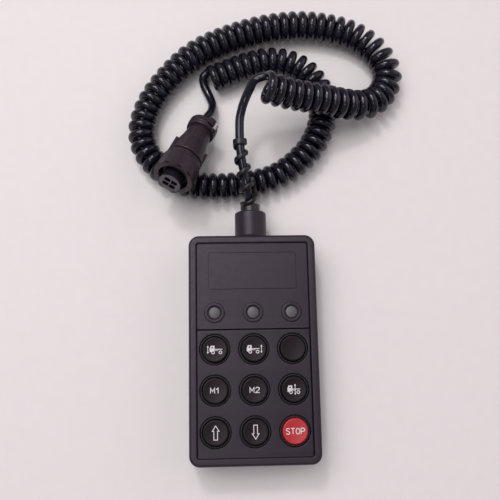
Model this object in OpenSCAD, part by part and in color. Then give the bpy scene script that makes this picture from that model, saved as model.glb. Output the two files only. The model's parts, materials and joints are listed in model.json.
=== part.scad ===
// Hand-held pendant control station with nine keys, three indicator lamps,
// a curly cord and a round four-pole bayonet plug. Millimetres, Z up, lying on its back.
// The origin is at the middle of the flat rear face.

/* [Housing] */
// Width of the housing
body_w = 80; // [78:1:86]
// Length of the housing
body_l = 141; // [140:1:150]
// Thickness of the housing, rear face to rim
body_t = 30; // [30:0.5:33]
// Radius of the housing's corners
corner_r = 6.5; // [5:0.5:8]
// Thickness of the side walls
wall = 3; // [2.6:0.2:3.2]

/* [Keys and lamps] */
// Distance between key columns
pitch_x = 24; // [23:0.5:24.5]
// Distance between key rows
pitch_y = 24.8; // [23:0.2:25]
// Radius of the part of a key that is pressed
key_r = 7.8; // [6.5:0.1:7.9]
// How far a key travels
key_travel = 1.2; // [0.8:0.1:1.5]
// Radius of an indicator lens
lens_r = 3.65; // [2.5:0.05:4]

/* [Cord and plug] */
// Diameter of the cord
cord_d = 5.8; // [5:0.1:6]
// Outer diameter of the cord's coil
coil_d = 18.6; // [17:0.2:19]
// Radius of the plug's coupling ring
ring_r = 13; // [12.5:0.1:13.5]
// How far the plug's nose points up, in degrees
plug_tilt = 23; // [20:1:27]

/* [Hidden] */

$fn = 64;
e = 0.01;

// Levels of the stack, from the rear face upwards
plate_t = 3;
panel_t = 3;
panel_top = body_t - 1.8;
panel_seat = panel_top - panel_t;
ledge_t = 2;
ledge_bottom = panel_seat - ledge_t;
board_t = 1.6;
board_bottom = 14;
board_top = board_bottom + board_t;
stub_z = 16.5;

// Window in the front cover, and the two panels that fill it
rim_w = 4.75;
window_w = body_w - 2 * rim_w;
window_l = 2 * 66.2;
window_r = 1.5;
ledge_w = 1.5;
panel_gap = 0.25;
panel_w = window_w - 2 * panel_gap;
panel_end = window_l / 2 - panel_gap;
split_y = 11.2;
split_gap = 0.4;
keypad_l = split_y - split_gap / 2 + panel_end;
keypad_y = split_y - split_gap / 2 - keypad_l / 2;
indicator_l = panel_end - split_y - split_gap / 2;
indicator_y = panel_end - indicator_l / 2;

// Keys, from the contact dome up to the crown
middle_row_y = -25.8;
key_hole_r = 9.5;
key_top = body_t;
seal_t = 1.3;
seal_bottom = panel_seat - seal_t;
seal_collar_ri = key_r + 0.5;
seal_collar_ro = key_hole_r - 0.4;
key_flange_r = seal_collar_ri + 0.6;
key_flange_t = 1.1;
key_flange_top = seal_bottom - 0.1;
dome_h = key_travel + 2.8;
dome_top = board_top + dome_h;
dish_r = 60;
dish_depth = 0.5;

// Lamps and label
lamp_y = 21.7;
lamp_collar_r = 6.4;
lamp_collar_h = 0.8;
lens_flange_t = 2;
led_r = 2.5;
label_y = 48;
label_w = 55;
label_l = 23;
label_t = 0.6;
pocket_t = 0.5;

// Screws: four in the corners of the rear cover, four in the board, two in the clamp
boss_r = 4;
boss_x = body_w / 2 - 6.5;
boss_y = body_l / 2 - 6.5;
screw_r = 1.5;
screw_head_r = 2.8;
screw_head_t = 1.8;
board_w = 66;
board_l = 108;
board_y = -11;
board_screw_r = 1.25;
BOARD_SCREWS = [[-16, -60], [16, -60], [-28, 38], [28, 38]];
clamp_w = 22;
clamp_l = 7;
clamp_y = 58.5;
clamp_t = 4.3;
clamp_screw_x = 7.5;

// Cable gland on the end of the housing
stub_r = 10.2;
stub_end_y = 88;
stub_seat_y = 80;
relief_r = 6.3;
relief_tip_r = 4.7;
jacket_end_y = 52;
header_y = 36;
header_l = 8;
cord_r = cord_d / 2;
coil_r = coil_d / 2;

// Routes of the strain relief and of the cord's three stretches, centre line points
RELIEF = [[0, 90.5, 16.5], [-0.5, 95, 18.5], [-1.5, 100, 22.2], [-2.5, 105, 25],
    [-3.5, 111, 27], [-5, 118, 28.5], [-6, 126, 30], [-6.5, 134, 31]];
LEAD = [[-6.5, 134, 31], [-6.6, 140, 31.5], [-6.4, 146, 32.5], [-5, 153, 34.5],
    [-2.8, 159, 37], [0.2, 164.5, 40.5], [3.6, 168.5, 44.5], [7, 170.5, 47.5], [10, 170, 48.5]];
COIL = [[9.5, 163, 46.5], [24, 161.5, 40], [38, 161, 35], [48.5, 161, 30.5],
    [58, 161, 26], [71, 162, 19], [80, 164, 15], [88, 168.5, 12],
    [95, 177, 10], [98, 188, 9.3], [95, 199, 9.3], [87.5, 209, 9.3],
    [76, 217.5, 9.3], [60, 223, 9.3], [38, 225.5, 9.3], [12, 222.5, 9.3],
    [-15, 214, 9.3], [-38, 202, 9.3], [-56, 184, 9.3], [-67, 167, 9.3],
    [-72, 150, 9.3], [-70, 136, 9.3], [-62, 124, 9.3], [-47, 112.5, 9.3],
    [-22, 108.5, 9.3], [8, 112, 9.3], [24, 118.5, 9.3], [37.5, 129.5, 9.3],
    [46, 141, 9.3], [51, 155, 9.3], [52, 170, 9.3], [46, 184, 9.3],
    [35, 194.5, 9.3], [18, 198.8, 9.3], [-0.5, 195, 9.3], [-24.5, 185.5, 9.3]];
TAIL = [[-24.5, 185.5, 9.3], [-28.5, 183, 6], [-28.3, 178, 4.5], [-25.8, 172.5, 4.7],
    [-24.4, 167.5, 6.3], [-25.1, 161.5, 10], [-27.3, 155.2, 13.8]];

// Plug: origin at the middle of the insert's front face, local Z forward along its axis
plug_front = [-51.2, 102.2, 38.9];
plug_azimuth = -114.6;
plug_roll = -13;
insert_r = 7.1;
insert_l = 14;
insert_back_r = 6.8;
pole_x = 2.1;
pole_y = 2.3;
slot_w = 2.8;
slot_l = 3.5;
ring_front = -5.3;
ring_back = -21.2;
ring_back_r = ring_r - 0.7;
ring_bore_r = 9.8;
neck_r = 8.6;
neck_clearance = 0.06;
neck_front = -10.5;
face_seal_t = 1.8;
shell_lip_r = 11.8;
lug_r = 11.6;
lug_l = 12.5;
barrel_end = -36;
barrel_end_r = 9.8;
shell_end = -48.2;
shell_end_r = 7.9;
flange_t = 2;
flange_back = shell_end - flange_t;
shell_bore_r = 6.5;
tail_neck_r = 7;
flange_r = 9.6;
ear_r = 2.2;
cap_r = 9.8;
cap_ear_t = 1.2;
plug_back = -55.6;
grommet_r = 5.4;
grommet_l = 12;
bolt_angle = 138;
bolt_spoke = 9.9;
bolt_r = 0.8;
bolt_head_r = 1.25;
cable_end_l = 20;

function unit(v) = v / norm(v);

// Middle of the plug's back, where the cord enters
plug_axis = [cos(plug_tilt) * cos(plug_azimuth), cos(plug_tilt) * sin(plug_azimuth), sin(plug_tilt)];
plug_entry = plug_front + plug_back * plug_axis;

// A rectangle with rounded corners, centred
module rounded_plate(w, l, r) {
    square([w - 2 * r, l], center = true);
    square([w, l - 2 * r], center = true);
    for (x = [-1, 1], y = [-1, 1])
        translate([x * (w / 2 - r), y * (l / 2 - r)])
            circle(r);
}

// The same rectangle as a block between two levels
module block(w, l, r, z0, z1) {
    translate([0, 0, z0])
        linear_extrude(z1 - z0)
            rounded_plate(w, l, r);
}

// A cylinder along +Y from y0 to y1, at the height of the cable
module along_y(r, y0, y1) {
    translate([0, y0, stub_z])
        rotate([-90, 0, 0])
            cylinder(r = r, h = y1 - y0);
}

// Puts its children at the four corner screws
module at_bosses() {
    for (x = [-1, 1], y = [-1, 1])
        translate([x * boss_x, y * boss_y, 0])
            children();
}

// Puts its children at a key, given by column and row from -1 to 1
module at_key(column, row) {
    translate([column * pitch_x, middle_row_y + row * pitch_y, 0])
        children();
}

// Puts its children at a lamp, given by column
module at_lamp(column) {
    translate([column * pitch_x, lamp_y, 0])
        children();
}

// Puts its children in the plug's own frame
module at_plug() {
    translate(plug_front)
        rotate([0, 90 - plug_tilt, plug_azimuth])
            rotate(plug_roll)
                children();
}

// Puts its children at the four poles of the plug
module at_poles() {
    for (x = [-1, 1], y = [-1, 1])
        translate([x * pole_x, y * pole_y, 0])
            children();
}

// Puts its children at the bolt of the plug's cap
module at_bolt() {
    rotate(bolt_angle)
        translate([bolt_spoke, 0, 0])
            children();
}

// A straight rod between two points
module rod(p, q, r) {
    d = q - p;
    translate(p)
        rotate([0, acos(d[2] / norm(d)), atan2(d[1], d[0])])
            cylinder(r = r, h = norm(d));
}

// Direction of a route at point i
function heading(route, i) =
    unit(route[min(i + 1, len(route) - 1)] - route[max(i - 1, 0)]);

// The ring of corner points round a route's point i
function route_ring(route, i, r, sides) =
    let (t = heading(route, i), u = unit(cross(t, [0, 0, 1])), v = cross(u, t))
    [for (k = [0 : sides - 1])
        let (a = 360 * k / sides)
        route[i] + r * (cos(a) * u + sin(a) * v)];

// A tube swept along a route, its radius going evenly from r0 to r1
module tube(route, r0, r1, sides) {
    n = len(route);
    rings = [for (i = [0 : n - 1])
        each route_ring(route, i, r0 + (r1 - r0) * i / (n - 1), sides)];
    walls = [for (i = [0 : n - 2], k = [0 : sides - 1], half = [0, 1])
        let (a = i * sides + k, b = i * sides + (k + 1) % sides)
        half == 0 ? [a, b, b + sides] : [a, b + sides, a + sides]];
    first = [for (k = [0 : sides - 1]) sides - 1 - k];
    last = [for (k = [0 : sides - 1]) (n - 1) * sides + k];
    polyhedron(points = rings, faces = concat(walls, [first, last]));
}

// Front shell: walls, rim, panel ledge, screw bosses and the cable gland
module front_cover() {
    color("dimgray") difference() {
        union() {
            difference() {
                block(body_w, body_l, corner_r, plate_t, body_t);
                block(body_w - 2 * wall, body_l - 2 * wall, corner_r - wall,
                    plate_t - e, ledge_bottom);
                block(window_w - 2 * ledge_w, window_l - 2 * ledge_w, window_r,
                    ledge_bottom - e, panel_seat + e);
                block(window_w, window_l, window_r, panel_seat, body_t + e);
            }
            at_bosses()
                translate([0, 0, plate_t])
                    cylinder(r = boss_r, h = ledge_bottom - plate_t);
            along_y(stub_r, body_l / 2 - wall / 2, stub_end_y);
        }
        gasket_ring(plate_t - e);
        at_bosses()
            translate([0, 0, plate_t - e])
                cylinder(r = screw_r, h = 12);
        along_y(cord_r + 0.1, body_l / 2 - wall - 1, stub_end_y);
        along_y(relief_r, stub_seat_y, stub_end_y + e);
    }
}

// The ring-shaped space of the gasket, from z0 up
module gasket_ring(z0) {
    translate([0, 0, z0])
        linear_extrude(plate_t + 1.5 - z0)
            difference() {
                rounded_plate(body_w - 2 * wall + 2.4, body_l - 2 * wall + 2.4, corner_r - wall + 1.2);
                rounded_plate(body_w - 2 * wall, body_l - 2 * wall, corner_r - wall);
            }
}

// Rear plate with locating lip, board posts and the lower half of the cable clamp
module rear_cover() {
    lip_w = body_w - 2 * wall - 0.4;
    lip_l = body_l - 2 * wall - 0.4;
    lip_r = corner_r - wall - 0.2;
    color("dimgray") difference() {
        union() {
            block(body_w, body_l, corner_r, 0, plate_t);
            difference() {
                block(lip_w, lip_l, lip_r, plate_t - e, plate_t + 2.5);
                block(lip_w - 3, lip_l - 3, lip_r - 1.5, plate_t - 2 * e, plate_t + 3);
                at_bosses()
                    cylinder(r = boss_r + 0.4, h = 2 * plate_t);
            }
            for (p = BOARD_SCREWS)
                translate([p[0], p[1], plate_t - e])
                    cylinder(r = 3, h = board_bottom - plate_t + e);
            translate([-clamp_w / 2, clamp_y - clamp_l / 2, plate_t - e])
                cube([clamp_w, clamp_l, stub_z - plate_t + e]);
        }
        at_bosses() {
            translate([0, 0, -e])
                cylinder(r = screw_head_r + 0.3, h = screw_head_t + 0.2 + e);
            cylinder(r = screw_r + 0.2, h = plate_t + e);
        }
        for (p = BOARD_SCREWS)
            translate([p[0], p[1], 8])
                cylinder(r = board_screw_r, h = board_bottom);
        along_y(cord_r, clamp_y - clamp_l, clamp_y + clamp_l);
        for (x = [-1, 1])
            translate([x * clamp_screw_x, clamp_y, 8])
                cylinder(r = screw_r, h = stub_z);
    }
}

// Rubber gasket between the two covers
module cover_gasket() {
    color("black") gasket_ring(plate_t);
}

// Four screws that hold the rear cover
module cover_screws() {
    color("silver") at_bosses() {
        translate([0, 0, 0.2])
            cylinder(r = screw_head_r, h = screw_head_t);
        translate([0, 0, 0.2 + screw_head_t - e])
            cylinder(r = screw_r, h = 11);
    }
}

// Upper panel with the label pocket and the three lamp collars
module indicator_panel() {
    color("gray") difference() {
        union() {
            translate([0, indicator_y, 0])
                block(panel_w, indicator_l, window_r - panel_gap, panel_seat, panel_top);
            for (c = [-1 : 1])
                at_lamp(c)
                    translate([0, 0, panel_top - e])
                        cylinder(r1 = lamp_collar_r, r2 = lamp_collar_r - 0.8, h = lamp_collar_h + e);
        }
        for (c = [-1 : 1])
            at_lamp(c)
                translate([0, 0, panel_seat - 1])
                    cylinder(r = lens_r + 0.05, h = panel_t + 3);
        translate([0, label_y, 0])
            block(label_w + 0.4, label_l + 0.4, 1, panel_top - pocket_t, panel_top + 1);
    }
}

// Lower panel with the nine key holes, chamfered at the top
module keypad_panel() {
    color("gray") difference() {
        translate([0, keypad_y, 0])
            block(panel_w, keypad_l, window_r - panel_gap, panel_seat, panel_top);
        for (c = [-1 : 1], r = [-1 : 1])
            at_key(c, r) {
                translate([0, 0, panel_seat - 1])
                    cylinder(r = key_hole_r, h = panel_t + 2);
                translate([0, 0, panel_top - 0.5])
                    cylinder(r1 = key_hole_r, r2 = key_hole_r + 0.6, h = 0.6);
            }
    }
}

// Blank label in its pocket
module label_plate() {
    color("darkgray") translate([0, label_y, 0])
        block(label_w, label_l, 0.8, panel_top - pocket_t, panel_top - pocket_t + label_t);
}

// Silicone mat under the lower panel, with a collar in each key hole
module keypad_seal() {
    color("black") difference() {
        union() {
            translate([0, keypad_y + 0.6, 0])
                block(window_w - 2 * ledge_w - 1, keypad_l - 2.4, 1, seal_bottom, panel_seat);
            for (c = [-1 : 1], r = [-1 : 1])
                at_key(c, r)
                    translate([0, 0, panel_seat - e])
                        cylinder(r = seal_collar_ro, h = panel_t - 0.8);
        }
        for (c = [-1 : 1], r = [-1 : 1])
            at_key(c, r)
                translate([0, 0, seal_bottom - 1])
                    cylinder(r = seal_collar_ri, h = panel_t + 3);
    }
}

// Lens of one indicator lamp
module lens(column) {
    color("lightgray") at_lamp(column) {
        translate([0, 0, panel_seat - lens_flange_t])
            cylinder(r = lens_r + 1.1, h = lens_flange_t);
        translate([0, 0, panel_seat - e])
            cylinder(r = lens_r, h = panel_t + 0.2);
    }
}

// Three light-emitting diodes on the board, under the lenses
module indicator_leds() {
    color("white") for (c = [-1 : 1])
        at_lamp(c)
            translate([0, 0, board_top]) {
                cylinder(r = led_r + 0.4, h = 1);
                cylinder(r = led_r, h = 4.4);
                translate([0, 0, 4.4])
                    sphere(r = led_r);
            }
}

// Circuit board, notched round the lower bosses
module circuit_board() {
    color("green") difference() {
        translate([0, board_y, 0])
            block(board_w, board_l, 3, board_bottom, board_top);
        at_bosses()
            translate([0, 0, board_bottom - 1])
                cylinder(r = boss_r + 0.6, h = board_t + 2);
        for (p = BOARD_SCREWS)
            translate([p[0], p[1], board_bottom - 1])
                cylinder(r = board_screw_r + 0.15, h = board_t + 2);
    }
}

// Four screws that hold the board
module board_screws() {
    color("silver") for (p = BOARD_SCREWS)
        translate([p[0], p[1], 0]) {
            translate([0, 0, board_top])
                cylinder(r = 2.2, h = 1.6);
            translate([0, 0, 9])
                cylinder(r = board_screw_r, h = board_top - 9 + e);
        }
}

// Controller chip
module controller_chip() {
    color("black") translate([-21, 29, board_top])
        cube([10, 10, 1.4]);
}

// Connector that takes the cable's wires
module cable_header() {
    color("white") translate([-7, header_y - header_l / 2, board_top])
        cube([14, header_l, 5]);
}

// Four wires from the cable's jacket to the header
module signal_wires() {
    color("gold") for (x = [-1.5 : 1 : 1.5])
        translate([x * 1.2, header_y + header_l / 2, board_top + 1.3])
            rotate([-90, 0, 0])
                cylinder(r = 0.55, h = jacket_end_y - header_y - header_l / 2);
}

// Upper half of the cable clamp
module cable_clamp() {
    color("dimgray") difference() {
        translate([-clamp_w / 2, clamp_y - clamp_l / 2, stub_z])
            cube([clamp_w, clamp_l, clamp_t]);
        along_y(cord_r, clamp_y - clamp_l, clamp_y + clamp_l);
        for (x = [-1, 1])
            translate([x * clamp_screw_x, clamp_y, stub_z - 1])
                cylinder(r = screw_r + 0.1, h = clamp_t + 2);
    }
}

// Two screws of the cable clamp
module cable_clamp_screws() {
    color("silver") for (x = [-1, 1])
        translate([x * clamp_screw_x, clamp_y, 0]) {
            translate([0, 0, stub_z + clamp_t])
                cylinder(r = screw_head_r, h = screw_head_t);
            translate([0, 0, 9])
                cylinder(r = screw_r, h = stub_z + clamp_t - 9 + e);
        }
}

// The cord's end inside the housing
module cable_core() {
    color("black") along_y(cord_r, jacket_end_y, stub_seat_y);
}

// One key: crown with a dished top, retaining flange and plunger
module key_cap(column, row, colour) {
    color(colour) at_key(column, row)
        difference() {
            union() {
                translate([0, 0, key_flange_top - e])
                    cylinder(r = key_r, h = key_top - key_flange_top + e);
                translate([0, 0, key_flange_top - key_flange_t])
                    cylinder(r = key_flange_r, h = key_flange_t);
                translate([0, 0, dome_top])
                    cylinder(r = 2.6, h = key_flange_top - dome_top);
            }
            translate([0, 0, key_top - dish_depth + dish_r])
                sphere(r = dish_r, $fn = 128);
        }
}

// Silicone contact dome that returns one key
module contact_dome(column, row) {
    color("whitesmoke") at_key(column, row)
        translate([0, 0, board_top])
            difference() {
                cylinder(r1 = 5, r2 = 3, h = dome_h);
                translate([0, 0, -e])
                    cylinder(r1 = 4.2, r2 = 2.2, h = dome_h - 1);
            }
}

// Bend relief of the cord: a root plugged into the gland and a tapering tail
module strain_relief() {
    color("black") {
        along_y(relief_r - 0.05, stub_seat_y, RELIEF[0][1]);
        tube(RELIEF, relief_r - 0.05, relief_tip_r, 12);
    }
}

// The uncoiled stretch between the strain relief and the coil
module cord_lead() {
    color("black") tube(LEAD, cord_r, cord_r, 12);
}

// The coil, as one fat tube
module cord_coil() {
    color("black") tube(COIL, coil_r, coil_r, 12);
}

// The uncoiled stretch between the coil and the plug
module cord_tail() {
    color("black") tube(concat(TAIL, [plug_entry]), cord_r, cord_r, 12);
}

// Bayonet coupling ring that turns on the shell's neck
module coupling_ring() {
    color("darkslategray") at_plug() difference() {
        union() {
            rotate_extrude()
                polygon([[ring_bore_r, ring_front], [ring_r - 0.7, ring_front],
                    [ring_r, ring_front - 4], [ring_back_r, ring_back],
                    [neck_r + neck_clearance, ring_back],
                    [neck_r + neck_clearance, ring_back + 5],
                    [ring_bore_r, ring_back + 5]]);
            for (a = [45 : 90 : 315])
                rotate(a)
                    translate([ring_bore_r - 0.9, -1.5, ring_front - 4])
                        cube([1.5, 3, 2]);
        }
        for (a = [3 : 36 : 327])
            rotate(a)
                translate([ring_r - 0.7, -0.6, ring_back + 1])
                    cube([2, 1.2, 14]);
    }
}

// Plug body: neck for the ring, wide barrel, tapered back and a flanged tail
module plug_shell() {
    color("darkslategray") at_plug() difference() {
        union() {
            rotate_extrude()
                polygon([[insert_back_r + 0.05, neck_front], [neck_r, neck_front], [neck_r, ring_back - 0.2],
                    [shell_lip_r - 0.7, ring_back - 0.2], [shell_lip_r, ring_back - 0.9],
                    [shell_lip_r, ring_back - 1.4],
                    [barrel_end_r, barrel_end], [shell_end_r, shell_end],
                    [flange_r, shell_end], [flange_r, flange_back],
                    [tail_neck_r, flange_back], [tail_neck_r, plug_back + 1],
                    [grommet_r, plug_back + 1], [grommet_r, plug_back + grommet_l],
                    [shell_bore_r, plug_back + grommet_l + 2], [shell_bore_r, -insert_l],
                    [insert_back_r + 0.05, -insert_l]]);
            at_bolt()
                translate([0, 0, flange_back])
                    cylinder(r = ear_r, h = flange_t);
            for (a = [90, 270])
                rotate(a)
                    translate([barrel_end_r - 1.5, -2.5, ring_back - 1.5 - lug_l])
                        cube([lug_r - barrel_end_r + 1.5, 5, lug_l]);
        }
        at_bolt()
            translate([0, 0, flange_back - 1])
                cylinder(r = bolt_r, h = 3);
    }
}

// Contact insert with four cavities, stepped in behind the face seal
module plug_insert() {
    color("gray") at_plug() difference() {
        union() {
            translate([0, 0, neck_front + face_seal_t])
                cylinder(r = insert_r, h = -neck_front - face_seal_t);
            translate([0, 0, -insert_l])
                cylinder(r = insert_back_r, h = insert_l - 1);
        }
        at_poles() {
            translate([-slot_w / 2, -slot_l / 2, -9])
                cube([slot_w, slot_l, 10]);
            translate([0, 0, -insert_l - 1])
                cylinder(r = 1, h = 6.5);
        }
    }
}

// Four female contacts
module plug_contacts() {
    color("gold") at_plug() at_poles()
        translate([0, 0, -insert_l])
            difference() {
                cylinder(r = 1, h = insert_l - 2.5);
                translate([0, 0, 6])
                    cylinder(r = 0.6, h = insert_l);
            }
}

// Rubber seal round the insert, against the neck's front
module plug_face_seal() {
    color("black") at_plug()
        translate([0, 0, neck_front])
            difference() {
                cylinder(r = neck_r, h = face_seal_t);
                translate([0, 0, -e])
                    cylinder(r = insert_back_r, h = 2 * face_seal_t);
            }
}

// Snap ring that keeps the coupling ring on the neck
module plug_retaining_ring() {
    color("silver") at_plug()
        translate([0, 0, ring_back + 5.1])
            difference() {
                cylinder(r = ring_bore_r - 0.3, h = 1);
                translate([0, 0, -e])
                    cylinder(r = neck_r, h = 2);
            }
}

// Cap that clamps the cord at the plug's back, with an open channel for its bolt
module plug_clamp_cap() {
    color("darkslategray") at_plug() difference() {
        union() {
            translate([0, 0, plug_back])
                cylinder(r = cap_r, h = flange_back - plug_back);
            at_bolt()
                translate([0, 0, flange_back - cap_ear_t])
                    cylinder(r = ear_r, h = cap_ear_t);
        }
        translate([0, 0, plug_back + 1])
            cylinder(r = tail_neck_r + 0.05, h = 20);
        translate([0, 0, plug_back - 1])
            cylinder(r = grommet_r, h = 20);
        at_bolt() {
            translate([0, 0, plug_back - 1])
                cylinder(r = bolt_head_r + 0.25, h = flange_back - cap_ear_t - plug_back + 1);
            translate([0, 0, plug_back])
                cylinder(r = bolt_r + 0.1, h = 20);
        }
    }
}

// Long-headed bolt of the clamp cap
module plug_clamp_screw() {
    color("silver") at_plug() at_bolt() {
        translate([0, 0, plug_back - 0.5])
            cylinder(r = bolt_head_r, h = flange_back - cap_ear_t - plug_back + 0.5);
        translate([0, 0, flange_back - cap_ear_t - e])
            cylinder(r = bolt_r, h = cap_ear_t + 1.8);
    }
}

// Rubber grommet round the cord
module plug_grommet() {
    color("black") at_plug() difference() {
        translate([0, 0, plug_back])
            cylinder(r = grommet_r, h = grommet_l);
        translate([0, 0, plug_back - 1])
            cylinder(r = cord_r, h = 20);
    }
}

// The cord's end inside the plug
module plug_cable_end() {
    color("black") at_plug()
        translate([0, 0, plug_back])
            cylinder(r = cord_r, h = cable_end_l);
}

// Four wires from the cord's end to the contacts
module plug_wires() {
    color("gold") at_plug()
        for (x = [-1, 1], y = [-1, 1])
            rod([x * 1.2, y * 1.2, plug_back + cable_end_l], [x * pole_x, y * pole_y, -insert_l], 0.6);
}

front_cover();
rear_cover();
cover_gasket();
cover_screws();
indicator_panel();
keypad_panel();
label_plate();
keypad_seal();
lens(-1);  // lens_left
lens(0);  // lens_middle
lens(1);  // lens_right
indicator_leds();
circuit_board();
board_screws();
controller_chip();
cable_header();
signal_wires();
cable_clamp();
cable_clamp_screws();
cable_core();
key_cap(-1, 1, "black");  // key_front_axle
key_cap(0, 1, "black");  // key_rear_axle
key_cap(1, 1, "black");  // key_blank
key_cap(-1, 0, "black");  // key_memory_1
key_cap(0, 0, "black");  // key_memory_2
key_cap(1, 0, "black");  // key_middle_axle
key_cap(-1, -1, "black");  // key_raise
key_cap(0, -1, "black");  // key_lower
key_cap(1, -1, "red");  // key_stop
contact_dome(-1, 1);  // dome_front_axle
contact_dome(0, 1);  // dome_rear_axle
contact_dome(1, 1);  // dome_blank
contact_dome(-1, 0);  // dome_memory_1
contact_dome(0, 0);  // dome_memory_2
contact_dome(1, 0);  // dome_middle_axle
contact_dome(-1, -1);  // dome_raise
contact_dome(0, -1);  // dome_lower
contact_dome(1, -1);  // dome_stop
strain_relief();
cord_lead();
cord_coil();
cord_tail();
coupling_ring();
plug_shell();
plug_insert();
plug_contacts();
plug_face_seal();
plug_retaining_ring();
plug_clamp_cap();
plug_clamp_screw();
plug_grommet();
plug_cable_end();
plug_wires();
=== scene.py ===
"""Looks of a pendant control station with its curly cord and plug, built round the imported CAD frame.

Shapes are worked out in millimetres, in the CAD's own frame, and made into pieces in metres by make_piece().
"""

import json
import math

import bmesh
import bpy
from mathutils import Matrix, Vector


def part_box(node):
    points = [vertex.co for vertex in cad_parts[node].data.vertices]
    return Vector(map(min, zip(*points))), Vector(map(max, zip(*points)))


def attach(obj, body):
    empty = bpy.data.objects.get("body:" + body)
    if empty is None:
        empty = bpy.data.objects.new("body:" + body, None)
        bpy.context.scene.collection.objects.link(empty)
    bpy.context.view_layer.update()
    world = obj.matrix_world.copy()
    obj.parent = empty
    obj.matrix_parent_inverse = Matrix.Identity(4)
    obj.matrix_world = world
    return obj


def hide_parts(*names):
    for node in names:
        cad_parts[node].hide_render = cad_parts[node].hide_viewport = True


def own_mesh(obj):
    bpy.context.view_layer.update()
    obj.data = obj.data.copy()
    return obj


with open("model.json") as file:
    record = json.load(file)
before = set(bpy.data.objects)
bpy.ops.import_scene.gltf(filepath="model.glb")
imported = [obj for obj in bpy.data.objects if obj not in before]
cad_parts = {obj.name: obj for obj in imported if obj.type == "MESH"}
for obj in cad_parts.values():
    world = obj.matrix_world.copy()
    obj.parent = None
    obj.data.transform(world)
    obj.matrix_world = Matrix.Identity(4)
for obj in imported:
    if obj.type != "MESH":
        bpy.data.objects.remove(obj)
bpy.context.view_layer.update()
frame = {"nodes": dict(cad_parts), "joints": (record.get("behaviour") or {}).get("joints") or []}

MM = 0.001
UP = Vector((0, 0, 1))
SCENE = bpy.context.scene


# ---------------------------------------------------------------- camera


def make_camera():
    """Looks down at the handset from 0.46 m, as one holds a telephone over it."""
    data = bpy.data.cameras.new("camera")
    data.lens = 50.4
    data.sensor_width = 36
    data.clip_start = 0.01
    camera = bpy.data.objects.new("camera", data)
    camera.location = (-0.0203, -0.0248, 0.4627)
    camera.rotation_euler = [math.radians(a) for a in (11.23, -2.30, -1.13)]
    SCENE.collection.objects.link(camera)
    SCENE.camera = camera


make_camera()


# ---------------------------------------------------------------- materials


def noise(nodes, links, coords, size, detail=3.0):
    """A noise texture whose spots are about size millimetres wide."""
    texture = nodes.new("ShaderNodeTexNoise")
    texture.inputs["Scale"].default_value = 1 / (size * MM)
    texture.inputs["Detail"].default_value = detail
    links.new(coords, texture.inputs["Vector"])
    return texture.outputs["Fac"]


def remapped(nodes, links, value, low, high, start=0.3, end=0.7):
    """A value between start and end, stretched to lie between low and high."""
    ramp = nodes.new("ShaderNodeMapRange")
    ramp.inputs["From Min"].default_value = start
    ramp.inputs["From Max"].default_value = end
    ramp.inputs["To Min"].default_value = low
    ramp.inputs["To Max"].default_value = high
    links.new(value, ramp.inputs["Value"])
    return ramp.outputs["Result"]


def mixed(nodes, links, factor, first, second):
    """A mix of two colours, either of which may be a socket."""
    mix = nodes.new("ShaderNodeMix")
    mix.data_type = "RGBA"
    links.new(factor, mix.inputs["Factor"])
    for name, colour in (("A", first), ("B", second)):
        socket = next(s for s in mix.inputs if s.name == name and s.type == "RGBA")
        if isinstance(colour, tuple):
            socket.default_value = (*colour, 1)
        else:
            links.new(colour, socket)
    return next(s for s in mix.outputs if s.type == "RGBA")


def shaded(colour, times):
    """A colour made lighter or darker."""
    return tuple(min(1.0, c * times) for c in colour)


def make_material(name, colour, roughness, grain=0.4, bump=0.02, tone=0.1, spread=0.05, wear=0.0, **constant):
    """A finish with blotches of tone, patches of shine, fine grain and, if asked, paler edges.

    grain is the width and bump the height of the surface's grain in millimetres.
    """
    finish = bpy.data.materials.new(name)
    finish.use_nodes = True
    nodes, links = finish.node_tree.nodes, finish.node_tree.links
    shader = nodes["Principled BSDF"]
    coords = nodes.new("ShaderNodeTexCoord").outputs["Object"]
    blotches = remapped(nodes, links, noise(nodes, links, coords, 9.0), 0, 1)
    paint = mixed(nodes, links, blotches, shaded(colour, 1 - tone), shaded(colour, 1 + tone))
    if wear:
        pointiness = nodes.new("ShaderNodeNewGeometry").outputs["Pointiness"]
        edges = remapped(nodes, links, pointiness, 0, wear, 0.52, 0.62)
        paint = mixed(nodes, links, edges, paint, shaded(colour, 2.5))
    links.new(paint, shader.inputs["Base Color"])
    patches = noise(nodes, links, coords, 3.0, 4.0)
    shine = remapped(nodes, links, patches, roughness - spread, roughness + spread)
    links.new(shine, shader.inputs["Roughness"])
    relief = nodes.new("ShaderNodeBump")
    relief.inputs["Strength"].default_value = 0.6
    relief.inputs["Distance"].default_value = bump * MM
    links.new(noise(nodes, links, coords, grain, 2.0), relief.inputs["Height"])
    links.new(relief.outputs["Normal"], shader.inputs["Normal"])
    for socket, value in constant.items():
        shader.inputs[socket.replace("_", " ")].default_value = value
    return finish


VIOLET_SHEEN = (1, 0.89, 1, 1)

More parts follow.
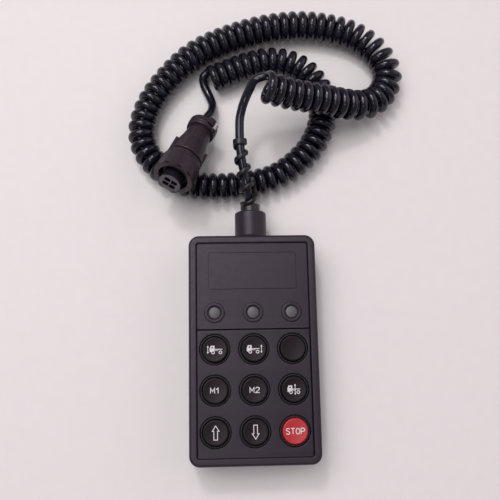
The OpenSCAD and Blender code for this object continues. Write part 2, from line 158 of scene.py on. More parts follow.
FINISH = {
    "housing": make_material("housing_plastic", (0.024, 0.016, 0.027), 0.40, 0.35, 0.03, 0.08, 0.06, 0.35,
        Specular_IOR_Level=0.35, Specular_Tint=VIOLET_SHEEN),
    "panel": make_material("panel_plastic", (0.019, 0.013, 0.022), 0.38, 0.30, 0.025, 0.08, 0.05, 0.3,
        Specular_IOR_Level=0.33, Specular_Tint=VIOLET_SHEEN),
    "label": make_material("label_film", (0.020, 0.014, 0.023), 0.37, 0.6, 0.008, 0.06, 0.05,
        Specular_IOR_Level=0.33, Specular_Tint=VIOLET_SHEEN),
    "gasket": make_material("gasket_rubber", (0.012, 0.011, 0.012), 0.7, 0.5, 0.03),
    "key": make_material("key_plastic", (0.009, 0.006, 0.009), 0.38, 0.35, 0.012, 0.1, 0.05, 0.25,
        Specular_IOR_Level=0.2, Specular_Tint=VIOLET_SHEEN),
    "key_stop": make_material("stop_key_plastic", (0.44, 0.014, 0.022), 0.38, 0.35, 0.012, 0.05, 0.04),
    "key_seal": make_material("key_seal_silicone", (0.012, 0.010, 0.013), 0.5, 0.5, 0.02),
    "legend": make_material("legend_ink", (0.70, 0.68, 0.70), 0.5, 0.3, 0.01, 0.05),
    "lens": make_material("lens_plastic", (0.081, 0.078, 0.086), 0.42, 1.2, 0.02, 0.12, 0.05),
    "led": make_material("led_epoxy", (0.75, 0.75, 0.7), 0.3, 0.6, 0.01, 0.04),
    "board": make_material("board_mask", (0.02, 0.13, 0.05), 0.35, 1.5, 0.02, 0.2),
    "chip": make_material("chip_epoxy", (0.015, 0.015, 0.016), 0.6, 0.3, 0.02),
    "header": make_material("header_nylon", (0.7, 0.67, 0.58), 0.5, 0.8, 0.02),
    "wires": make_material("wire_insulation", (0.55, 0.36, 0.05), 0.35, 0.8, 0.01, 0.15),
    "clamp": make_material("clamp_nylon", (0.03, 0.03, 0.032), 0.5, 0.5, 0.03),
    "cord": make_material("cord_jacket", (0.008, 0.007, 0.014), 0.11, 1.5, 0.006, 0.15, 0.03,
        Specular_Tint=(0.9, 0.9, 1, 1)),
    "strain_relief": make_material("relief_rubber", (0.011, 0.009, 0.011), 0.32, 0.6, 0.015, 0.12, 0.06),
    "plug": make_material("plug_plastic", (0.019, 0.012, 0.017), 0.42, 0.35, 0.03, 0.12, 0.06, 0.3,
        Specular_Tint=(1, 0.82, 0.98, 1)),
    "insert": make_material("insert_plastic", (0.088, 0.072, 0.096), 0.45, 0.35, 0.02, 0.08, 0.05, 0.2),
    # Dark finish for the insert's side, also used as painted shade inside its four cavities
    "insert_side_and_cavity_shade": make_material("insert_side_and_painted_cavity_shade", (0.006, 0.005, 0.010), 0.42, 0.35, 0.02, 0.08, 0.05,
        0.3, Specular_IOR_Level=0.25),
    "contacts": make_material("contact_gold", (0.75, 0.5, 0.2), 0.3, 0.4, 0.01, 0.1, Metallic=1.0),
    "spring_steel": make_material("spring_steel", (0.45, 0.45, 0.46), 0.35, 0.3, 0.01, 0.1, Metallic=1.0),
    "screws": make_material("zinc_steel", (0.62, 0.62, 0.6), 0.3, 0.3, 0.01, 0.12, Metallic=1.0),
    "plug_screw": make_material("nickel_steel", (0.88, 0.87, 0.88), 0.28, 0.4, 0.006, 0.05, Metallic=0.9),
    "dome": make_material("dome_silicone", (0.55, 0.55, 0.53), 0.5, 0.6, 0.02),
}


# ---------------------------------------------------------------- mesh tools, in millimetres


def circle(radius, height, count=64, centre=(0, 0)):
    """A level ring of points."""
    turns = [2 * math.pi * k / count for k in range(count)]
    return [(centre[0] + radius * math.cos(a), centre[1] + radius * math.sin(a), height) for a in turns]


def ring_of(radius, count=32, centre=(0, 0)):
    """A flat circle outline."""
    return [(x, y) for x, y, _ in circle(radius, 0, count, centre)]


def rounded(corners, steps=4):
    """A closed outline whose corners (x, y, radius) are rounded off."""
    outline = []
    for i, (x, y, radius) in enumerate(corners):
        corner = Vector((x, y))
        if not radius:
            outline.append(corner)
            continue
        back = (Vector(corners[i - 1][:2]) - corner).normalized()
        ahead = (Vector(corners[(i + 1) % len(corners)][:2]) - corner).normalized()
        half = back.angle(ahead) / 2
        centre = corner + (back + ahead).normalized() * radius / math.sin(half)
        spoke = corner + back * radius / math.tan(half) - centre
        last = corner + ahead * radius / math.tan(half) - centre
        turn = math.atan2(spoke.cross(last), spoke.dot(last))
        for k in range(steps + 1):
            outline.append(centre + Matrix.Rotation(turn * k / steps, 2) @ spoke)
    return outline


def box_outline(width, length, radius, steps=8, centre=(0, 0)):
    """A rectangle with rounded corners."""
    w, h = width / 2, length / 2
    corners = [(w, h, radius), (-w, h, radius), (-w, -h, radius), (w, -h, radius)]
    return [p + Vector(centre) for p in rounded(corners, steps)]


def loft(rings, wrap=False):
    """A mesh that joins rings of points: a loop of them, or a row with its two ends capped."""
    count = len(rings[0])
    points = [tuple(p) for ring in rings for p in ring]
    faces = []
    for i in range(len(rings) if wrap else len(rings) - 1):
        here, there = i * count, (i + 1) % len(rings) * count
        for k in range(count):
            ahead = (k + 1) % count
            faces.append((here + k, here + ahead, there + ahead, there + k))
    if not wrap:
        faces.append(tuple(reversed(range(count))))
        faces.append(tuple(range(len(points) - count, len(points))))
    mesh = bpy.data.meshes.new("loft")
    mesh.from_pydata(points, [], faces)
    return mesh


def lathe(outline, count=64, shape=None, centre=(0, 0)):
    """Turns a closed outline of (radius, height) round the Z axis.

    shape(angle, radius, height) may change a radius.
    """
    rings = []
    for radius, height in outline:
        ring = []
        for k in range(count):
            angle = 2 * math.pi * k / count
            r = shape(angle, radius, height) if shape else radius
            ring.append((centre[0] + r * math.cos(angle), centre[1] + r * math.sin(angle), height))
        rings.append(ring)
    return loft(rings, wrap=True)


def plate(outlines, bottom, top, edge=0.0):
    """A flat plate, the first outline its border and the others holes, with all its edges rounded."""
    curve = bpy.data.curves.new("plate", "CURVE")
    curve.dimensions = "2D"
    curve.fill_mode = "BOTH"
    curve.extrude = (top - bottom) / 2 - edge
    curve.bevel_depth = edge
    curve.bevel_resolution = 2
    curve.offset = -edge
    for outline in outlines:
        spline = curve.splines.new("POLY")
        spline.points.add(len(outline) - 1)
        spline.use_cyclic_u = True
        for point, place in zip(spline.points, outline):
            point.co = (place[0], place[1], 0, 1)
    mesh = bpy.data.meshes.new_from_object(bpy.data.objects.new("plate", curve))
    mesh.transform(Matrix.Translation((0, 0, (top + bottom) / 2)))
    return cleaned(mesh)


def cleaned(mesh):
    """The mesh with its doubled points merged and its faces turned outwards."""
    work = bmesh.new()
    work.from_mesh(mesh)
    bmesh.ops.remove_doubles(work, verts=work.verts, dist=0.001)
    bmesh.ops.recalc_face_normals(work, faces=work.faces)
    work.to_mesh(mesh)
    work.free()
    return mesh


def merged(meshes):
    """One mesh that holds several."""
    work = bmesh.new()
    for mesh in meshes:
        work.from_mesh(mesh)
    whole = bpy.data.meshes.new("merged")
    work.to_mesh(whole)
    work.free()
    return whole


def moved(mesh, matrix):
    """The same mesh somewhere else."""
    mesh.transform(matrix)
    return mesh


def boolean(mesh, tool, operation):
    """The mesh with another one cut from it or added to it."""
    base = bpy.data.objects.new("base", cleaned(mesh))
    other = bpy.data.objects.new("tool", cleaned(tool))
    for thing in (base, other):
        SCENE.collection.objects.link(thing)
    modifier = base.modifiers.new("boolean", "BOOLEAN")
    modifier.object = other
    modifier.operation = operation
    modifier.solver = "EXACT"
    graph = bpy.context.evaluated_depsgraph_get()
    result = bpy.data.meshes.new_from_object(base.evaluated_get(graph))
    for thing in (base, other):
        bpy.data.objects.remove(thing)
    return result


def smooth_path(points, step, before=None, after=None):
    """Points about step apart on a smooth curve through the given ones.

    before and after steer its two ends.
    """
    knots = [Vector(p) for p in points]
    knots.insert(0, Vector(before) if before else 2 * knots[0] - knots[1])
    knots.append(Vector(after) if after else 2 * knots[-1] - knots[-2])
    path = []
    for a, b, c, d in zip(knots, knots[1:], knots[2:], knots[3:]):
        pieces = max(1, round((c - b).length / step))
        for k in range(pieces):
            t = k / pieces
            square = (2 * a - 5 * b + 4 * c - d) * t**2
            cube = (3 * b - a - 3 * c + d) * t**3
            path.append(0.5 * (2 * b + (c - a) * t + square + cube))
    path.append(knots[-2])
    return path


def spaced(path, count):
    """count points evenly spaced along a path."""
    along = [0.0]
    for p, q in zip(path, path[1:]):
        along.append(along[-1] + (q - p).length)
    points, i = [], 0
    for k in range(count):
        at = along[-1] * k / (count - 1)
        while i < len(path) - 2 and along[i + 1] < at:
            i += 1
        points.append(path[i].lerp(path[i + 1], (at - along[i]) / (along[i + 1] - along[i])))
    return points


def path_length(path):
    """How long a path is."""
    return sum((q - p).length for p, q in zip(path, path[1:]))


def direction(path, i):
    """The way a path goes at its point i."""
    return (path[min(i + 1, len(path) - 1)] - path[max(i - 1, 0)]).normalized()


def stop_value(stops, at):
    """The value at a place between given (place, value) stops."""
    for (s0, v0), (s1, v1) in zip(stops, stops[1:]):
        if at <= s1:
            return v0 + (v1 - v0) * (at - s0) / (s1 - s0)
    return stops[-1][1]


def make_piece(name, mesh, finish, body, replaces=(), sharp=35):
    """Turns a mesh in millimetres into a finished piece that rides on a body."""
    cleaned(mesh)
    mesh.transform(Matrix.Scale(MM, 4))
    mesh.shade_smooth()
    mesh.set_sharp_from_angle(angle=math.radians(sharp))
    mesh.materials.clear()
    mesh.materials.append(FINISH[finish])
    piece = bpy.data.objects.new(name, mesh)
    SCENE.collection.objects.link(piece)
    normals = piece.modifiers.new("normals", "WEIGHTED_NORMAL")
    normals.keep_sharp = True
    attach(piece, body)
    if replaces:
        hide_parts(*replaces)
    return piece


def middle(node):
    """The middle of a CAD node's box, in millimetres."""
    low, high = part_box(node)
    return (low + high) / 2 / MM


# ---------------------------------------------------------------- cord

CORD_D = 5.8
CORD_HOLE_R = CORD_D / 2 + 0.05
STUB_END_Y = 88
STUB_Z = 16.5

# Routes in metres. They are the CAD's, but for less than a millimetre where the tail enters the plug
RELIEF = [(0, 0.0905, 0.0165), (-0.0005, 0.095, 0.0185), (-0.0015, 0.100, 0.0222), (-0.0025, 0.105, 0.025),
    (-0.0035, 0.111, 0.027), (-0.005, 0.118, 0.0285), (-0.006, 0.126, 0.030), (-0.0065, 0.134, 0.031)]
LEAD = [(-0.0064, 0.146, 0.0325), (-0.005, 0.153, 0.0345), (-0.0028, 0.159, 0.037), (0.0002, 0.1645, 0.0405),
    (0.0036, 0.169, 0.0445)]
COIL = [(0.0095, 0.163, 0.0465), (0.024, 0.1615, 0.040), (0.038, 0.161, 0.035), (0.0485, 0.161, 0.0305),
    (0.058, 0.161, 0.026), (0.071, 0.162, 0.019), (0.080, 0.164, 0.015), (0.088, 0.1685, 0.012),
    (0.095, 0.177, 0.010), (0.098, 0.188, 0.0093), (0.095, 0.199, 0.0093), (0.0875, 0.209, 0.0093),
    (0.076, 0.2175, 0.0093), (0.060, 0.223, 0.0093), (0.038, 0.2255, 0.0093), (0.012, 0.2225, 0.0093),
    (-0.015, 0.214, 0.0093), (-0.038, 0.202, 0.0093), (-0.056, 0.184, 0.0093), (-0.067, 0.167, 0.0093),
    (-0.072, 0.150, 0.0093), (-0.070, 0.136, 0.0093), (-0.062, 0.124, 0.0093), (-0.047, 0.1125, 0.0093),
    (-0.022, 0.1085, 0.0093), (0.008, 0.112, 0.0093), (0.024, 0.1185, 0.0093), (0.0375, 0.1295, 0.0093),
    (0.046, 0.141, 0.0093), (0.051, 0.155, 0.0093), (0.052, 0.170, 0.0093), (0.046, 0.184, 0.0093),
    (0.035, 0.1945, 0.0093), (0.018, 0.1988, 0.0093), (-0.0005, 0.195, 0.0093), (-0.0245, 0.1855, 0.0093)]
TAIL = [(-0.0303, 0.1888, 0.0062), (-0.0298, 0.1832, 0.0042), (-0.0274, 0.178, 0.0038),
    (-0.0252, 0.1725, 0.0045), (-0.0242, 0.1675, 0.0063), (-0.0253, 0.1613, 0.010), (-0.0282, 0.1556, 0.0138)]
COIL_REST_Z = 9.3

# The coil's outer diameter and the pitch of its turns at places along its route, all in millimetres
COIL_WIDTH = [(0, 21.8), (20, 21.0), (120, 20.6), (250, 20.6), (300, 19.2), (375, 18.4), (435, 18.4),
    (485, 19.6), (608, 19.2)]
COIL_PITCH = [(0, 6.9), (15, 6.8), (25, 6.4), (38, 6.3), (50, 6.9), (60, 7.7), (68, 8.3), (78, 8.6),
    (86, 7.6), (94, 6.6), (102, 7.0), (110, 7.6), (125, 8.0), (134, 8.0), (142, 7.0), (155, 6.7), (180, 6.5),
    (260, 6.5), (300, 6.7), (320, 6.7), (430, 6.4), (445, 6.7), (475, 6.7), (490, 6.9), (530, 6.8),
    (560, 6.5), (590, 6.0), (608, 6.0)]
PER_TURN = 24
FIRST_ANGLE = -95
LAST_ANGLE = 100

turn_joint = next(j for j in frame["joints"] if j["type"] == "hinge")
PLUG_AXIS = Vector(turn_joint["axis"])
JOINT_DEPTH = 13.5
PLUG_FRONT = Vector(turn_joint["pos_m"]) / MM + JOINT_DEPTH * PLUG_AXIS
PLUG_BACK = -55.6


def in_mm(route):
    """A route given in metres, as points in millimetres."""
    return [Vector(p) / MM for p in route]


def track_turns(route, step):
    """How many turns the coil has made at each point of its route, ending at LAST_ANGLE."""
    turns = [0.0]
    for i in range(1, len(route)):
        turns.append(turns[-1] + step / stop_value(COIL_PITCH, i * step))
    rest = (LAST_ANGLE - FIRST_ANGLE) / 360
    fit = (round(turns[-1] - rest) + rest) / turns[-1]
    return [t * fit for t in turns]


def wind_coil():
    """The right-handed winding, whose strands cross the top squarely. Its angle is counted from the top."""
    step = 0.25
    route = smooth_path(in_mm(COIL), step)
    route = spaced(route, round(path_length(route) / step))
    turns = track_turns(route, step)
    winding, i = [], 0
    for k in range(int(turns[-1] * PER_TURN) + 1):
        while turns[i + 1] * PER_TURN < k:
            i += 1
        ahead = direction(route, i)
        side = ahead.cross(UP).normalized()
        top = side.cross(ahead)
        angle = math.radians(FIRST_ANGLE + 360 * k / PER_TURN)
        pitch = stop_value(COIL_PITCH, i * step)
        width = stop_value(COIL_WIDTH, i * step)
        middle_point = route[i].lerp(route[i + 1], (k / PER_TURN - turns[i]) / (turns[i + 1] - turns[i]))
        lift = (width / 2 - COIL_REST_Z) * UP - pitch / 6 * math.sin(angle) * ahead
        spoke = math.cos(angle) * top + math.sin(angle) * side
        winding.append(middle_point + lift + (width - CORD_D) / 2 * spoke)
    return winding


def make_cord():
    """The whole cord as one line, from the gland through the coil to the plug."""
    winding = wind_coil()
    entry = PLUG_FRONT + (PLUG_BACK + 4) * PLUG_AXIS
    start = [Vector((0, STUB_END_Y - 4, STUB_Z))] + in_mm(RELIEF) + in_mm(LEAD) + [winding[0]]
    end = [winding[-1]] + in_mm(TAIL) + [PLUG_FRONT + PLUG_BACK * PLUG_AXIS, entry]
    lead = smooth_path(start, 1.5, after=winding[4])
    tail = smooth_path(end, 1.5, before=winding[-5])
    line = lead[:-1] + winding + tail[1:]
    curve = bpy.data.curves.new("cord", "CURVE")
    curve.dimensions = "3D"
    curve.bevel_depth = CORD_D / 2 * MM
    curve.bevel_resolution = 6
    curve.use_fill_caps = True
    spline = curve.splines.new("POLY")
    spline.points.add(len(line) - 1)
    for point, place in zip(spline.points, line):
        point.co = (*(place * MM), 1)
    spline.use_smooth = True
    curve.materials.append(FINISH["cord"])
    cord = bpy.data.objects.new("curly_cord", curve)
    SCENE.collection.objects.link(cord)
    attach(cord, "handset")
    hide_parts("cord_lead", "cord_coil", "cord_tail")
    return cord


cord = make_cord()


# ---------------------------------------------------------------- strain relief


def facing(origin, ahead):
    """The place of a shape whose own Z axis points ahead."""
    return Matrix.Translation(origin) @ Vector(ahead).to_track_quat("Z", "Y").to_matrix().to_4x4()


ALONG_Y = Matrix.Translation((0, 0, STUB_Z)) @ Matrix.Rotation(math.radians(-90), 4, "X")


def squarish(centre, spoke, across):
    """A ring of points round a strand with a softly squared section."""
    count = 14
    ring = []
    for k in range(count):
        angle = 2 * math.pi * k / count
        c, s = math.cos(angle), math.sin(angle)
        radial = spoke * math.copysign(abs(c) ** 0.75, c)
        ring.append(centre + radial + across * math.copysign(abs(s) ** 0.75, s))
    return ring


def make_strain_relief():
    """A root in the gland, an open right-handed strand narrowing round the cord, and a collar at its tip."""
    inner = CORD_HOLE_R
    root = lathe(rounded([(inner, 80.2, 0), (6.25, 80.2, 0), (6.3, 93.6, 0.6), (inner, 93.6, 0)]))
    moved(root, ALONG_Y)
    axis = spaced(smooth_path([(0, 92, 16.8)] + in_mm(RELIEF)[1:-1] + [(-6.4, 132, 30.8)], 0.5), 600)
    turns = 4.55
    first_angle = math.radians(150)
    half_width = 1.55
    count = round(turns * 28)
    spokes, strand = [], []
    for i in range(count + 1):
        share = i / count
        k = round(share * (len(axis) - 1))
        ahead = direction(axis, k)
        side = ahead.cross(UP).normalized()
        angle = first_angle + 2 * math.pi * turns * share
        spoke = math.cos(angle) * side.cross(ahead) + math.sin(angle) * side
        outer = stop_value([(0, 6.2), (0.25, 6.1), (0.6, 5.2), (1, 4.6)], share)
        thick = stop_value([(0, 2.9), (0.5, 2.5), (1, 1.9)], share)
        spokes.append(spoke * thick / 2)
        strand.append(axis[k] + spoke * (outer - thick / 2))
    rings = []
    for i, (centre, spoke) in enumerate(zip(strand, spokes)):
        across = direction(strand, i).cross(spoke).normalized() * half_width
        rings.append(squarish(centre, spoke, across))
    collar = lathe(rounded([(inner, -2.2, 0), (4.6, -2.2, 0.7), (4.6, 1.9, 0.7), (inner, 1.9, 0)]), 48)
    moved(collar, facing((-6.4, 132.2, 30.9), direction(axis, len(axis) - 1)))
    whole = merged([root, loft(rings), collar])
    return make_piece("helical_strain_relief", whole, "strain_relief", "handset", replaces=["strain_relief"],
        sharp=50)


strain_relief = make_strain_relief()


# ---------------------------------------------------------------- plug

# The plug is shaped in its own frame, Z forward and X underneath, with the insert's face at height 0
PLUG_ROLL = math.radians(-13)
PLUG_SIDE = UP.cross(PLUG_AXIS).normalized()
PLUG_TURN = Matrix((PLUG_SIDE.cross(PLUG_AXIS), PLUG_SIDE, PLUG_AXIS)).transposed().to_4x4()
PLUG_PLACE = Matrix.Translation(PLUG_FRONT) @ PLUG_TURN @ Matrix.Rotation(PLUG_ROLL, 4, "Z")
RING_R = 13.2
RING_FRONT = -4.9
RING_BACK = -21.2
NECK_BORE_BACK = -14
BARREL_R = 10.0
CONE_FRONT = -36
CONE_L = 12.2
CONE_R = 9.8
CONE_BACK_R = 7.9
LUG_MIDDLE = -28.3
LUG_L = 11.8
LUG_W = 5
CAP_R = 10
CAP_FRONT = -50.4
CORE_R = 5.4
CORE_FRONT = -43.6
CORE_BACK = -54.6
BOLT_R = 1.3
SHANK_R = 0.8
BOLT_SPOKE = 9.7
BOLT_PLACE = Matrix.Rotation(math.radians(138), 4, "Z") @ Matrix.Translation((BOLT_SPOKE, 0, 0))


def sector(r0, r1, middle_angle, width, z0, z1):
    """A curved block: width degrees of a ring."""
    steps = max(2, round(width / 3))
    section = ((r0, z0), (r1, z0), (r1, z1), (r0, z1))
    rings = []
    for k in range(steps + 1):
        a = math.radians(middle_angle - width / 2 + width * k / steps)
        rings.append([(r * math.cos(a), r * math.sin(a), z) for r, z in section])
    return cleaned(loft(rings))


def step_up(value, low, high):
    """0 below low, 1 above high, and smooth between."""
    t = min(1, max(0, (value - low) / (high - low)))
    return t * t * (3 - 2 * t)


def grooved(angle, radius, height):
    """Ten shallow grooves along the coupling ring, each with a deep pocket near its front."""
    if radius < 11.9 or height < -20.6:
        return radius
    spacing = 36
    first = 3
    from_groove = abs((math.degrees(angle) - first + spacing / 2) % spacing - spacing / 2)
    groove = (1 - step_up(from_groove, 6.6, 7.4)) * step_up(-height, 6.1, 6.5)
    pocket = (1 - step_up(from_groove, 6.2, 6.9)) * step_up(-height, 5.15, 5.25) * step_up(height, -6.1, -6.0)
    return radius - 0.25 * groove - 1.2 * pocket


def make_coupling_ring():
    """A grooved sleeve with a thick mouth, a step down near its back and four bayonet tabs inside."""
    front = [(9.9, -16.2), (9.9, -5.3), (10.0, -5.0), (10.3, RING_FRONT), (12.5, RING_FRONT), (13.0, -4.97)]
    wall = [(RING_R, height) for height in (-5.05, -5.15, -5.25, -6.0, -6.1, -6.5, -16.8)]
    wall += [(RING_R - 0.3, -17.2), (RING_R - 0.9, -17.9), (12.2, -18.4), (12.1, -20.6)]
    back = [(12.0, RING_BACK + 0.2), (11.7, RING_BACK), (8.66, RING_BACK), (8.66, -16.2)]
    ring = lathe(front + wall + back, 720, grooved)
    tabs = [sector(8.9, 10.2, a, 18, -9.3, -7.3) for a in range(45, 360, 90)]
    whole = moved(merged([ring, *tabs]), PLUG_PLACE)
    return make_piece("grooved_coupling_ring", whole, "plug", "coupling_ring", replaces=["coupling_ring"],
        sharp=40)


def barrel_facets(angle, radius, height):
    """Twelve faint flats along the plug's barrel and cone."""
    if radius < 7.95 or height > -24 or height < -45:
        return radius
    return radius - 0.25 * (1 - abs(math.cos(6 * angle)) ** 0.5)


def make_lug(side):
    """A block on one side of the barrel, with a softened outer face."""
    rings = []
    for height, inset in ((9.0, 0), (11.4, 0), (11.75, 0.1), (11.85, 0.4)):
        outline = box_outline(LUG_L - 2 * inset, LUG_W - 2 * inset, 1.0, 4)
        rings.append([(across, side * height, LUG_MIDDLE + along) for along, across in outline])
    return loft(rings)


def make_plug_shell():
    """Neck, barrel with a rounded front lip, cone, flange and two side lugs."""
    neck = [(6.85, -10.5), (8.4, -10.5), (8.6, -10.7), (8.6, -22.4), (10.9, -22.4)]
    lip = [(11.4, -22.5), (11.7, -22.7), (11.85, -23.1), (11.8, -23.6), (11.6, -24.1)]
    cone = [(CONE_R - (CONE_R - CONE_BACK_R) * (k / 8) ** 0.8, CONE_FRONT - CONE_L * k / 8) for k in range(9)]
    flange = [(9.1, -48.5), (9.5, -48.6), (9.7, -48.9), (9.7, CAP_FRONT), (7, CAP_FRONT)]
    bore = [(7, CORE_BACK), (CORE_R, CORE_BACK), (CORE_R, CORE_FRONT), (6.5, -41.6), (6.5, NECK_BORE_BACK),
        (6.85, NECK_BORE_BACK)]
    shell = lathe(neck + lip + [(BARREL_R, -35.2)] + cone + flange + bore, 240, barrel_facets)
    ear = lathe([(SHANK_R, -50.0), (1.9, -50.0), (1.9, -49.2), (1.6, -48.9), (SHANK_R, -48.9)], 32)
    moved(ear, BOLT_PLACE)
    whole = moved(merged([shell, make_lug(-1), make_lug(1), ear]), PLUG_PLACE)
    return make_piece("plug_barrel", whole, "plug", "handset", replaces=["plug_shell"], sharp=40)


def make_plug_cap():
    """A thick ring with rounded edges, a recess and a clamp block on it, and an open channel for the bolt."""
    outline = rounded([(7.05, CORE_BACK, 0), (CORE_R, CORE_BACK, 0), (CORE_R, PLUG_BACK, 0.2),
        (CAP_R, PLUG_BACK, 0.9), (CAP_R, CAP_FRONT, 0.9), (7.05, CAP_FRONT, 0)], 6)
    cap = boolean(lathe(outline, 120), sector(9.0, 11, 157, 34, -51.8, -49), "DIFFERENCE")
    cap = boolean(cap, sector(5.6, 10.2, 148, 50, -56.9, -51.8), "UNION")
    channel_r = BOLT_R + 0.25
    channel = moved(lathe([(0, -49), (channel_r, -49), (channel_r, -58), (0, -58)], 40), BOLT_PLACE)
    cap = boolean(cap, channel, "DIFFERENCE")
    return make_piece("plug_cord_cap", moved(cap, PLUG_PLACE), "plug", "handset", replaces=["plug_clamp_cap"])


def make_plug_screw():
    """The cap's bolt: a long rounded head with a hexagon socket, and a thin shank."""
    head = lathe(rounded([(0, -56.8, 0), (BOLT_R, -56.8, 0.4), (BOLT_R, -50.1, 0.2), (SHANK_R, -50.1, 0),
        (SHANK_R, -49, 0), (0, -49, 0)]), 40)
    socket = loft([circle(0.65, z, 6) for z in (-58, -56)])
    screw = moved(boolean(head, socket, "DIFFERENCE"), BOLT_PLACE)
    return make_piece("plug_cap_screw", moved(screw, PLUG_PLACE), "plug_screw", "handset",
        replaces=["plug_clamp_screw"])


def make_plug_insert():
    """The insert: a grey front face, a dark side, and painted shade inside its four cavities."""
    cavity_floor = -8.7
    face_edge = 0.3
    slots = [box_outline(3.4, 4.0, 1.0, 5, (x, y)) for x in (-2.15, 2.15) for y in (-2.3, 2.3)]
    face = plate([ring_of(7.1, 72), *slots], cavity_floor, 0, 0.25)
    stem = lathe([(0, NECK_BORE_BACK), (6.8, NECK_BORE_BACK), (6.8, cavity_floor), (0, cavity_floor)])
    whole = moved(merged([face, stem]), PLUG_PLACE)
    insert = make_piece("contact_insert", whole, "insert", "handset", replaces=["plug_insert"])
    insert.data.materials.append(FINISH["insert_side_and_cavity_shade"])
    # Every face deeper than the face's edge takes the dark finish: the insert's dark side, and painted shade
    # inside the cavities.
    for polygon in insert.data.polygons:
        depth = (PLUG_FRONT - polygon.center / MM).dot(PLUG_AXIS)
        polygon.material_index = int(depth > face_edge)
    return insert


def make_plug_grommet():
    """The rubber sleeve between cord and cap, with a short bulge behind the cap."""
    grommet = lathe(rounded([(CORD_HOLE_R, -56.6, 0), (5.0, -56.4, 0.5), (CORE_R, PLUG_BACK, 0),
        (CORE_R, CORE_FRONT, 0), (CORD_HOLE_R, CORE_FRONT, 0)]), 48)
    moved(grommet, PLUG_PLACE)
    return make_piece("cord_grommet", grommet, "gasket", "handset", replaces=["plug_grommet"])


plug_pieces = [make_coupling_ring(), make_plug_shell(), make_plug_cap(), make_plug_screw(),
    make_plug_insert(), make_plug_grommet()]


# ---------------------------------------------------------------- housing

BODY_W = 80
BODY_L = 141
BODY_T = 30
CORNER_R = 6.5
RIM_W = 4.75
WINDOW_R = 1.5
WALL = 3
PLATE_T = 3
PANEL_TOP = 28.2
PANEL_BOTTOM = 25.2
LEDGE_BOTTOM = 23.2
STUB_R = 10.2
SCREW_SPOTS = [(x, y) for x in (-33.5, 33.5) for y in (-64, 64)]


def level(inset, height, steps=10):
    """The housing's outline moved inwards, at a height."""
    radius = max(0.5, CORNER_R - inset * (CORNER_R - WINDOW_R) / RIM_W)
    return [(x, y, height) for x, y in box_outline(BODY_W - 2 * inset, BODY_L - 2 * inset, radius, steps)]


def make_front_cover():
    """Walls, rounded rim, ledge, gland and screw bosses."""
    ledge_w = RIM_W + 1.5
    section = rounded([(0, PLATE_T, 0.4), (0, BODY_T, 2.0), (RIM_W, BODY_T, 0.6), (RIM_W, PANEL_BOTTOM, 0),
        (ledge_w, PANEL_BOTTOM, 0), (ledge_w, LEDGE_BOTTOM, 0), (WALL, LEDGE_BOTTOM, 0),
        (WALL, PLATE_T, 0)], 6)
    walls = loft([level(inset, height) for inset, height in section], wrap=True)
    gland = lathe(rounded([(3.0, 68.2, 0), (11.3, 68.2, 0), (11.3, 70.6, 0), (STUB_R, 71.8, 1.0),
        (STUB_R, STUB_END_Y, 1.1), (6.3, STUB_END_Y, 0.4), (6.3, 80, 0), (3.0, 80, 0)], 5), 72)
    shell = boolean(walls, moved(gland, ALONG_Y), "UNION")
    boss = [(1.5, PLATE_T), (4, PLATE_T), (4, LEDGE_BOTTOM), (1.5, LEDGE_BOTTOM)]
    bosses = [lathe(boss, 32, centre=spot) for spot in SCREW_SPOTS]
    return make_piece("front_shell", merged([shell, *bosses]), "housing", "handset", replaces=["front_cover"])


def make_rear_cover():
    """Plate with softened edges, four counterbores, a shallow blank field, board posts and cord saddle."""
    section = rounded([(12, 0, 0), (0, 0, 1.4), (0, PLATE_T, 0.4), (12, PLATE_T, 0)], 5)
    body = loft([level(min(inset, 11), height) for inset, height in section])
    field = loft([[(x, y, z) for x, y in box_outline(46, 30, 2, 6, (0, 8))] for z in (-1, 0.4)])
    body = boolean(body, field, "DIFFERENCE")
    for spot in SCREW_SPOTS:
        hole = lathe([(0, -1), (3.1, -1), (3.1, 2.0), (1.7, 2.0), (1.7, 4), (0, 4)], 48, centre=spot)
        body = boolean(body, hole, "DIFFERENCE")
    post = [(1.25, PLATE_T), (3, PLATE_T), (3, 14), (1.25, 14)]
    posts = [lathe(post, 32, centre=spot) for spot in ((-16, -60), (16, -60), (-28, 38), (28, 38))]
    saddle = plate([box_outline(22, 7, 0.5, 3, (0, 58.5))], PLATE_T, 13.7, 0.3)
    whole = merged([body, *posts, saddle])
    return make_piece("rear_plate", whole, "housing", "handset", replaces=["rear_cover"])


def cross_recess(bottom, top, reach=1.7):
    """A cutter in the shape of a cross-head bit, pointing up."""
    half = 0.4
    arms = []
    for turn in (0, 90):
        ends = []
        for z, w in ((bottom, reach), (top, 0.7)):
            ends.append([(-w, -half, z), (w, -half, z), (w, half, z), (-w, half, z)])
        arms.append(moved(loft(ends), Matrix.Rotation(math.radians(turn), 4, "Z")))
    return boolean(arms[0], arms[1], "UNION")


def make_cover_screws():
    """Four round-headed screws with cross recesses, their shanks in the bosses."""
    head = lathe([(0, 0.25), (2.3, 0.25), (2.8, 0.6), (2.8, 2.0), (1.5, 2.0), (1.5, 13), (0, 13)], 40)
    screw = boolean(head, cross_recess(-0.5, 1.6), "DIFFERENCE")
    copies = [moved(screw.copy(), Matrix.Translation((*spot, 0))) for spot in SCREW_SPOTS]
    return make_piece("rear_screws", merged(copies), "screws", "handset", replaces=["cover_screws"])


make_front_cover()
make_rear_cover()
make_cover_screws()


# ---------------------------------------------------------------- panels

SPLIT_Y = 11.2
SPLIT_HALF_GAP = 0.2
PANEL_W = 70
PANEL_END = 65.95
LABEL_W = 55
LABEL_L = 23
LABEL_SPOT = (0, 48)
LENS_HOLE_R = 3.75
LAMP_SIDES = ("left", "middle", "right")
KEYS = ["front_axle", "rear_axle", "blank", "memory_1", "memory_2", "middle_axle", "raise", "lower", "stop"]


def panel_outline(y0, y1):
    """A panel's border between two heights on the housing's face."""
    return box_outline(PANEL_W, y1 - y0, 1.25, 5, (0, (y0 + y1) / 2))


